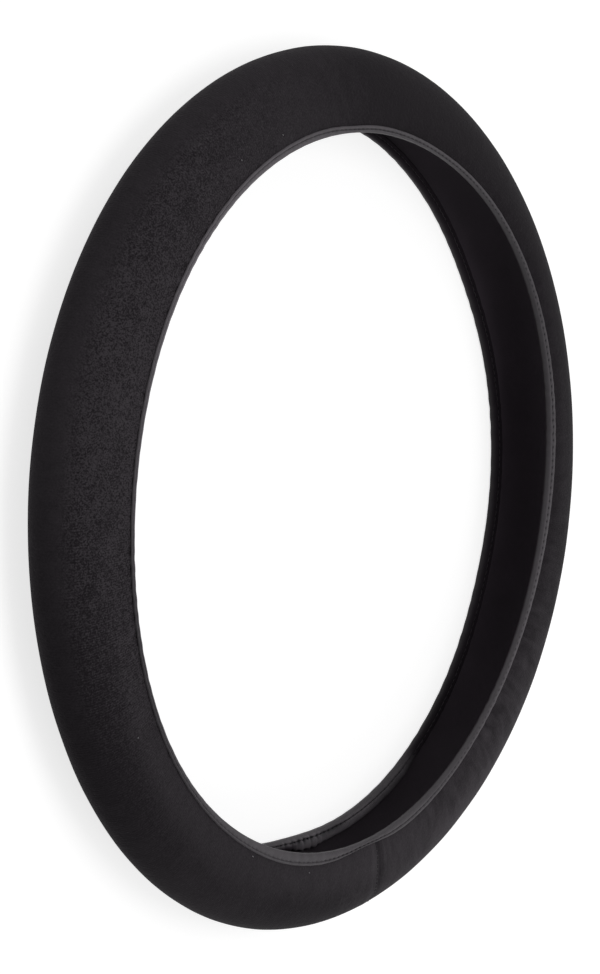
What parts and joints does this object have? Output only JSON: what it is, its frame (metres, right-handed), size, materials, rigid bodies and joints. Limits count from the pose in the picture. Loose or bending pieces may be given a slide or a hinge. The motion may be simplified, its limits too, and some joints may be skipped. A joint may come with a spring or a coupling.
{
  "type": "steering wheel cover",
  "caption": "Soft ring that slips over a car's steering wheel: a C-shaped velour skin sewn onto an anti-slip rubber ring, with taped and stitched mouth edges.",
  "frame": {"origin": "on the ring's axis, at the surface that it lies on", "axes": "+Z along the ring's axis, towards the mouth edge that faces up; -Y towards the skin's cross seam"},
  "size_m": [0.38, 0.38, 0.0374],
  "materials": {
    "velour": "short brushed pile, matte with a soft sheen",
    "rubber": "matte, slightly grained",
    "binding_tape": "smooth stretch tape, satin",
    "thread": "twisted sewing thread, satin"
  },
  "bodies": {
    "root": {"fabric_cover": "velour", "rubber_ring": "rubber", "front_binding": "binding_tape", "rear_binding": "binding_tape", "front_needle_thread": "thread", "front_bobbin_thread": "thread", "rear_needle_thread": "thread", "rear_bobbin_thread": "thread", "cross_seam_thread": "thread"}
  },
  "joints": []
}
